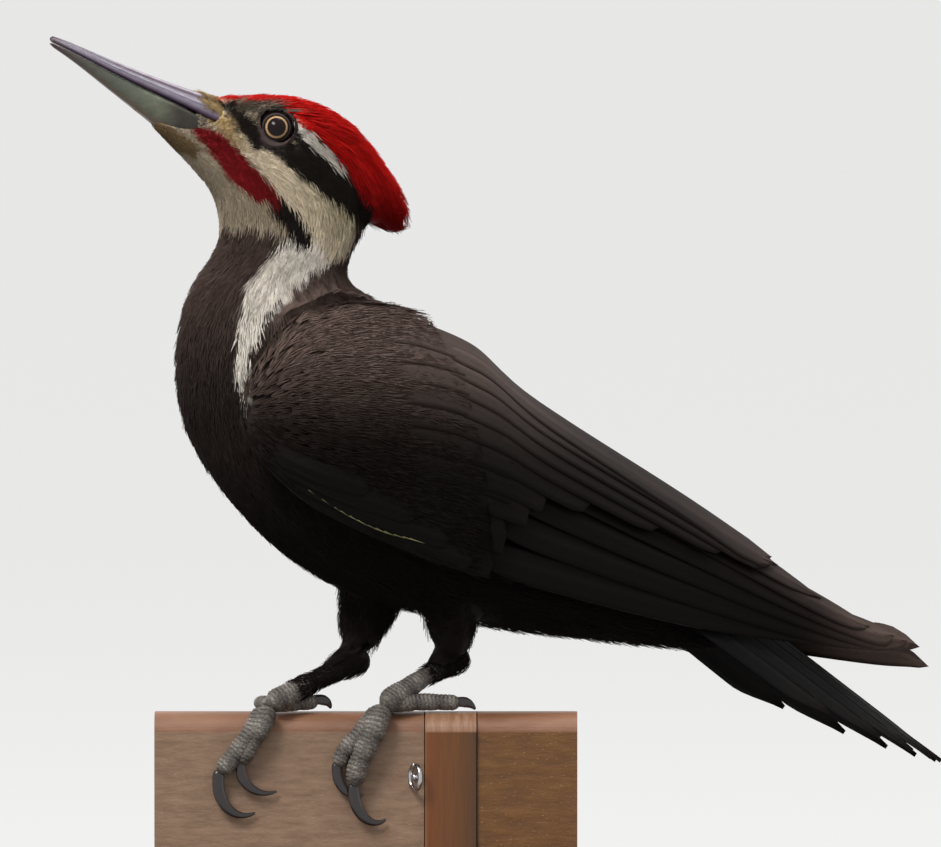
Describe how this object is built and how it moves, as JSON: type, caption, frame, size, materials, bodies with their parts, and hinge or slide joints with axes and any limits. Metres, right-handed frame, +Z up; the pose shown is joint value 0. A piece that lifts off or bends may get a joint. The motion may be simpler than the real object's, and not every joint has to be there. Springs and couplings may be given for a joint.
{
  "type": "pileated woodpecker",
  "caption": "Life-size pileated woodpecker with a red crest, bill raised, gripping the top edge of a board that short rods hold over a flat base.",
  "frame": {"origin": "centre of the base's underside, the plane that the stand rests on", "axes": "+Z up; the perch board runs along X, with the bird's bill towards -X and its left side towards -Y"},
  "size_m": [0.2798, 0.1354, 0.2938],
  "materials": {
    "crest_feathers": "bright red feathers with a silky sheen",
    "head_feathers": "short soft feathers, black, white and crimson stripes",
    "body_feathers": "soft brown-black feathers",
    "flight_feathers": "stiff brown-black vanes with a slight sheen",
    "bill_horn": "polished slate horn",
    "bill_lower_horn": "polished grey-green horn",
    "eye": "wet pale yellow iris round a black pupil",
    "foot_skin": "rough grey scales",
    "claw_horn": "dark polished horn",
    "board_wood": "stained cedar with a satin coat",
    "base_wood": "dark stained wood, satin",
    "rod_steel": "brushed",
    "screw_steel": "bright zinc"
  },
  "bodies": {
    "root": {"head": "head_feathers", "crest": "crest_feathers", "neck": "body_feathers", "trunk": "body_feathers", "tail": "flight_feathers", "bill_upper": "bill_horn", "bill_lower": "bill_lower_horn", "eye_left": "eye", "eye_right": "eye", "wing_left_arm": "body_feathers", "wing_left_secondaries": "flight_feathers", "wing_left_primaries": "flight_feathers", "wing_right_arm": "body_feathers", "wing_right_secondaries": "flight_feathers", "wing_right_primaries": "flight_feathers", "thigh_left": "body_feathers", "thigh_right": "body_feathers", "tarsus_left": "foot_skin", "tarsus_right": "foot_skin", "toe_left_1": "foot_skin", "toe_left_2": "foot_skin", "toe_left_3": "foot_skin", "toe_left_4": "foot_skin", "toe_right_1": "foot_skin", "toe_right_2": "foot_skin", "toe_right_3": "foot_skin", "toe_right_4": "foot_skin", "claw_left_1": "claw_horn", "claw_left_2": "claw_horn", "claw_left_3": "claw_horn", "claw_left_4": "claw_horn", "claw_right_1": "claw_horn", "claw_right_2": "claw_horn", "claw_right_3": "claw_horn", "claw_right_4": "claw_horn", "stand_perch_board": "board_wood", "stand_perch_strip": "board_wood", "stand_perch_screw": "screw_steel", "stand_rod_1": "rod_steel", "stand_rod_2": "rod_steel", "stand_base": "base_wood"}
  },
  "joints": []
}
